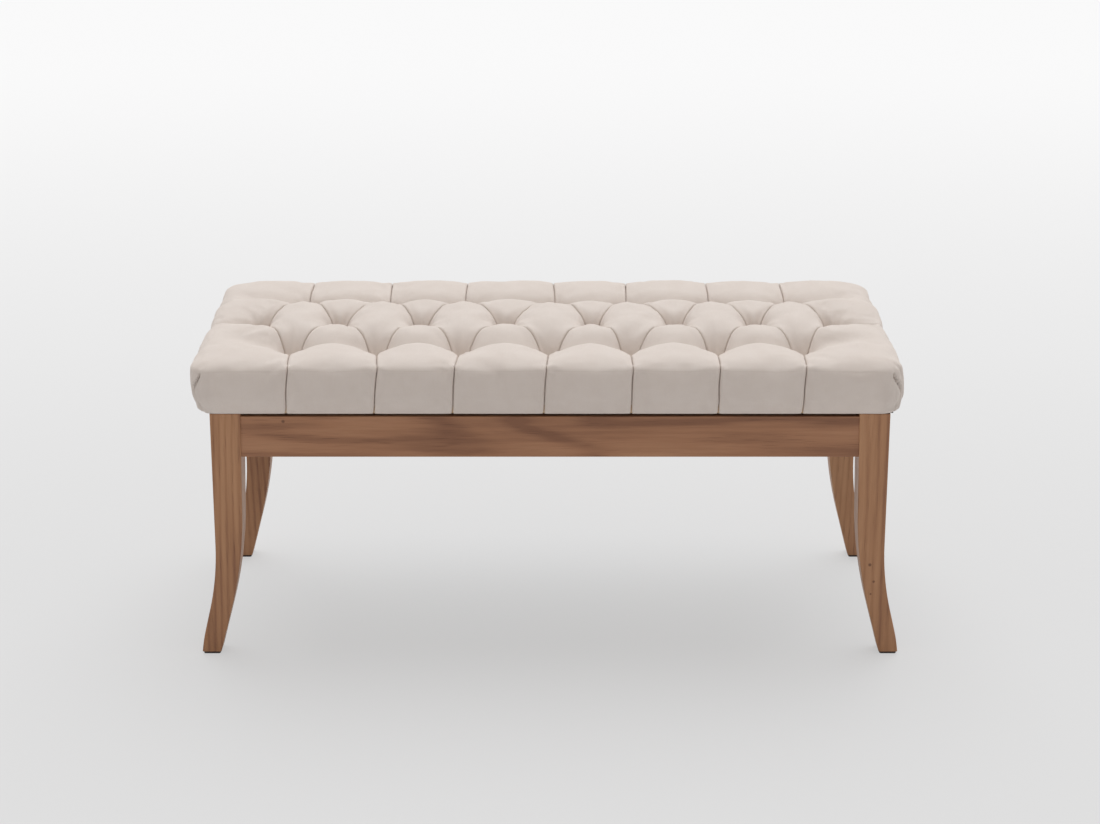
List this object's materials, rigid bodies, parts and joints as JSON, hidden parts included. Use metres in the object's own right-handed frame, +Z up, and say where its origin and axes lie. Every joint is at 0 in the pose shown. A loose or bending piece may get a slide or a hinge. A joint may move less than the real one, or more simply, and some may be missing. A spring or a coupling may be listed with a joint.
{
  "type": "upholstered bench",
  "caption": "Low rectangular bench with a diamond-tufted fabric seat on a wooden frame with outward-curving sabre legs.",
  "frame": {"origin": "on the floor, below the middle of the seat", "axes": "+X along the length to the right end, +Y from the front to the back, +Z up"},
  "size_m": [1.0296, 0.399, 0.461],
  "materials": {
    "frame_wood": "satin",
    "block_wood": "matte",
    "dowel_wood": "matte",
    "plywood": "matte",
    "seat_fabric": "matte",
    "foam": "matte",
    "dust_fabric": "matte",
    "twine": "matte",
    "pad_plastic": "matte",
    "zinc_steel": "satin"
  },
  "bodies": {
    "root": {"button_twines": "twine", "buttons_back_row": "seat_fabric", "buttons_front_row": "seat_fabric", "buttons_middle_row": "seat_fabric", "corner_block_back_left": "block_wood", "corner_block_back_right": "block_wood", "corner_block_front_left": "block_wood", "corner_block_front_right": "block_wood", "corner_block_screws": "zinc_steel", "cover_staples": "zinc_steel", "dust_cover": "dust_fabric", "dust_cover_staples": "zinc_steel", "foot_pad_back_left": "pad_plastic", "foot_pad_back_right": "pad_plastic", "foot_pad_front_left": "pad_plastic", "foot_pad_front_right": "pad_plastic", "foot_pad_nails": "zinc_steel", "hanger_bolt_nuts": "zinc_steel", "hanger_bolt_washers": "zinc_steel", "hanger_bolts": "zinc_steel", "leg_back_left": "frame_wood", "leg_back_right": "frame_wood", "leg_front_left": "frame_wood", "leg_front_right": "frame_wood", "rail_back": "frame_wood", "rail_dowels": "dowel_wood", "rail_front": "frame_wood", "rail_left": "frame_wood", "rail_right": "frame_wood", "seat_board": "plywood", "seat_cover": "seat_fabric", "seat_foam": "foam", "seat_screws": "zinc_steel", "twine_anchors": "zinc_steel"}
  },
  "joints": []
}
